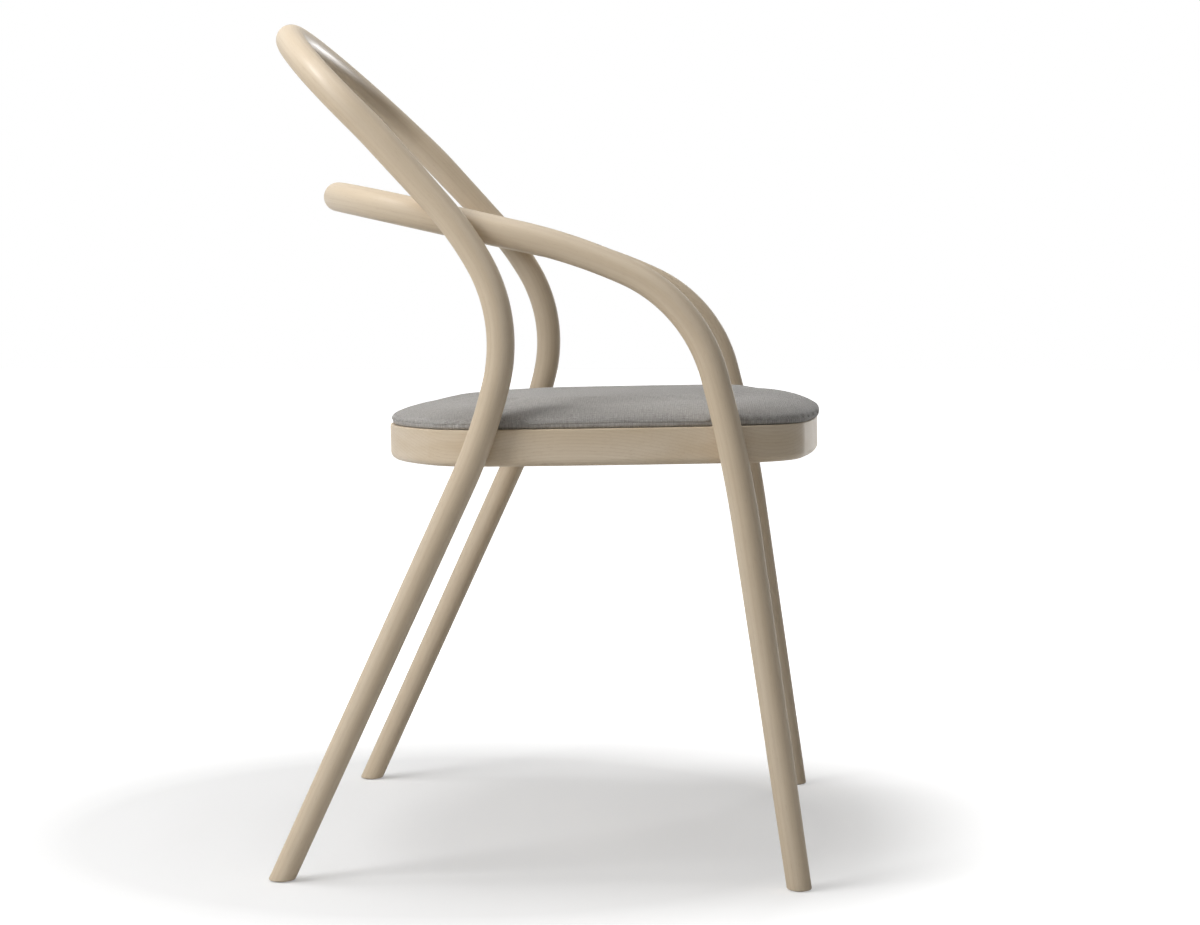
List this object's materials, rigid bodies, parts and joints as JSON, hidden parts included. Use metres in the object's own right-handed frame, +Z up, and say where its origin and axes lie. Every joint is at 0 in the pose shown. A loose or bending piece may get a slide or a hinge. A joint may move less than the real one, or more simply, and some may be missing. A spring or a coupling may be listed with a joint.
{
  "type": "dining armchair",
  "caption": "Bentwood dining armchair: one bent rod forms rear legs and back loop, another forms front legs, arms and rail; a bent seat ring carries an upholstered pad.",
  "frame": {"origin": "on the floor, under the middle of the chair's overall width and depth", "axes": "+Z up, -Y towards the front of the seat, X across the chair, mirrored about X = 0"},
  "size_m": [0.5344, 0.5458, 0.82],
  "materials": {
    "beech": "matt clear lacquer",
    "plywood": "raw sanded",
    "foam": "open cell",
    "cover_fabric": "fine woven wool",
    "zinc_steel": "zinc plated",
    "glide_nylon": "matt"
  },
  "bodies": {
    "root": {"back_bow": "beech", "arm_bow": "beech", "seat_ring": "beech", "seat_board": "plywood", "seat_foam": "foam", "seat_cover": "cover_fabric", "leg_block_rear_right": "beech", "leg_block_rear_left": "beech", "leg_block_front_right": "beech", "leg_block_front_left": "beech", "leg_bolts": "zinc_steel", "leg_washers": "zinc_steel", "leg_inserts": "zinc_steel", "seat_bolts": "zinc_steel", "seat_washers": "zinc_steel", "seat_nuts": "zinc_steel", "arm_screws": "zinc_steel", "arm_plug_right": "beech", "arm_plug_left": "beech", "glide_rear_right": "glide_nylon", "glide_rear_left": "glide_nylon", "glide_front_right": "glide_nylon", "glide_front_left": "glide_nylon"}
  },
  "joints": []
}
